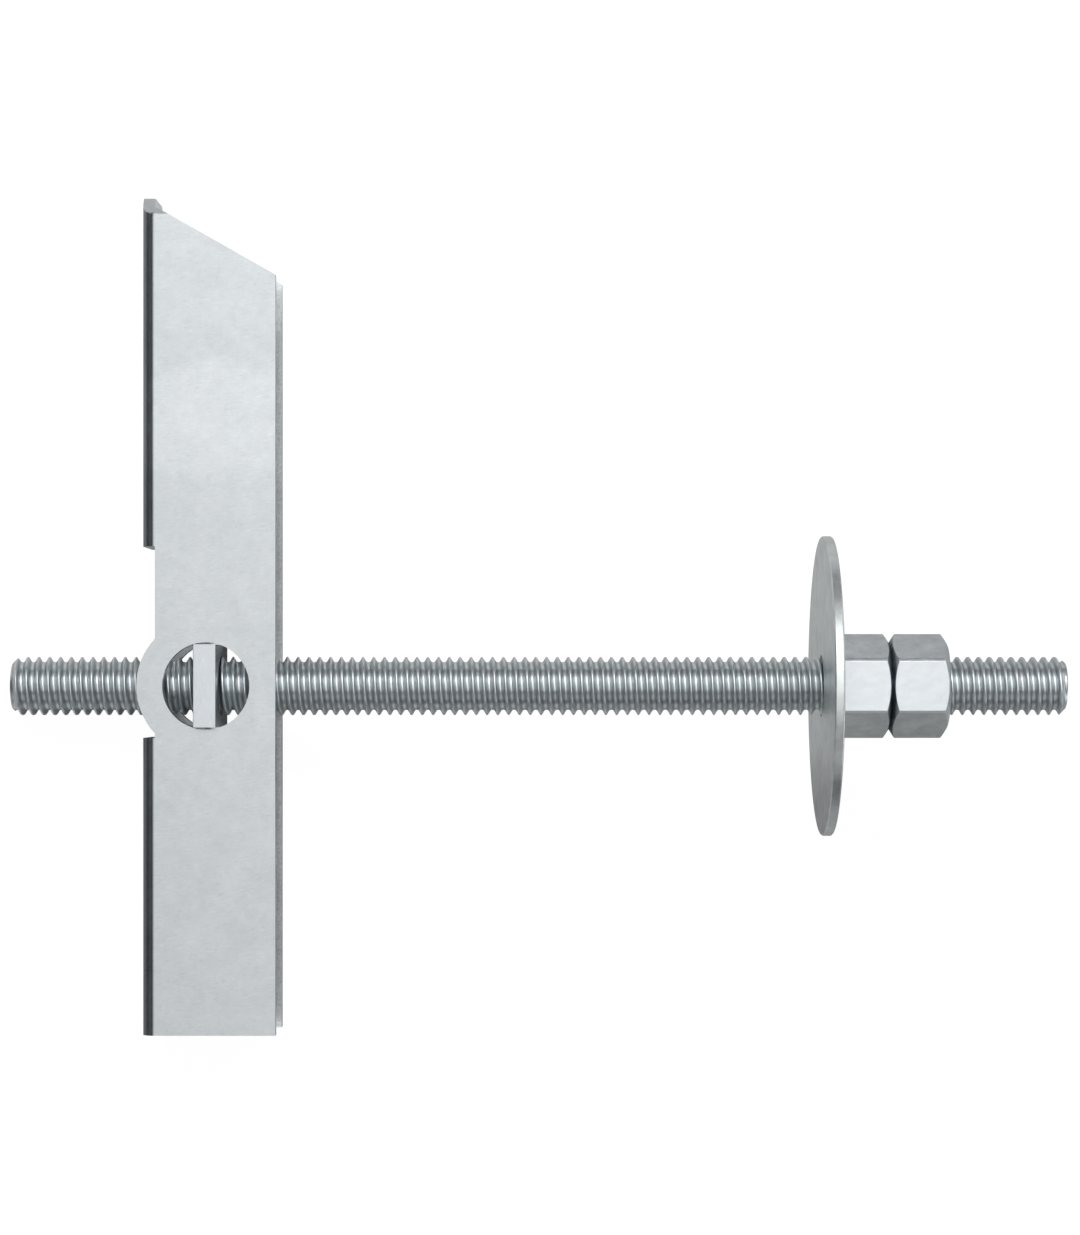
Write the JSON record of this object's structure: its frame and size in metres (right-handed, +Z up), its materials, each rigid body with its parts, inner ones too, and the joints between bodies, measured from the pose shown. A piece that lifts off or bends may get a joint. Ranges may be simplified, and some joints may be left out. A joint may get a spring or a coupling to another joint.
{
  "type": "gravity toggle bolt",
  "caption": "Threaded rod with a folded channel wing that tilts on a tapped plate, a large washer and two hex nuts, to fix loads to a hollow wall or ceiling.",
  "frame": {"origin": "on the surface that the part lies on, under the middle of its bounding box", "axes": "+X along the rod towards the washer and nuts, which rises 8.3 degrees from the surface; +Y along the long arm of the wing, which dips 1.2 degrees; +Z up, close to the wing's pivot axis"},
  "size_m": [0.1792, 0.1421, 0.0509],
  "materials": {
    "rod": "bright zinc-plated steel, thread with glossy crests",
    "plate": "zinc-plated steel, pale and smooth",
    "sheet": "galvanised sheet steel, faintly mottled and brushed",
    "washer": "zinc-plated steel, satin",
    "nuts": "zinc-plated steel, satin"
  },
  "bodies": {
    "rod": {"threaded_rod": "rod"},
    "plate": {"nut_plate": "plate"},
    "wing": {"toggle_wing": "sheet"},
    "washer": {"washer": "washer"},
    "clamping_nut": {"clamp_nut": "nuts"},
    "locking_nut": {"lock_nut": "nuts"}
  },
  "joints": [
    {"name": "toggle_travel", "type": "slide", "parent": "rod", "child": "plate", "axis": [0.9896, 0, 0.1438], "range_m": [-0.03, 0.01]},
    {"name": "wing_tilt", "type": "hinge", "parent": "plate", "child": "wing", "pos_m": [-0.05572, -0.01185, 0.01031], "axis": [-0.1438, 0.0203, 0.9894], "range_deg": [-17.5, 54]},
    {"name": "washer_travel", "type": "slide", "parent": "rod", "child": "washer", "axis": [0.9896, 0, 0.1438], "range_m": [-0.037, 0]},
    {"name": "clamp_nut_turn", "type": "hinge", "parent": "washer", "child": "clamping_nut", "pos_m": [0.04948, -0.01185, 0.0256], "axis": [0.9896, 0, 0.1438], "range_deg": [-7210, 0]},
    {"name": "lock_nut_travel", "type": "slide", "parent": "rod", "child": "locking_nut", "axis": [0.9896, 0, 0.1438], "range_m": [0, 0.018]}
  ],
  "couplings": [
    {"joint": "clamp_nut_turn", "follows": "washer_travel", "rad_per_m": 3396.3}
  ]
}
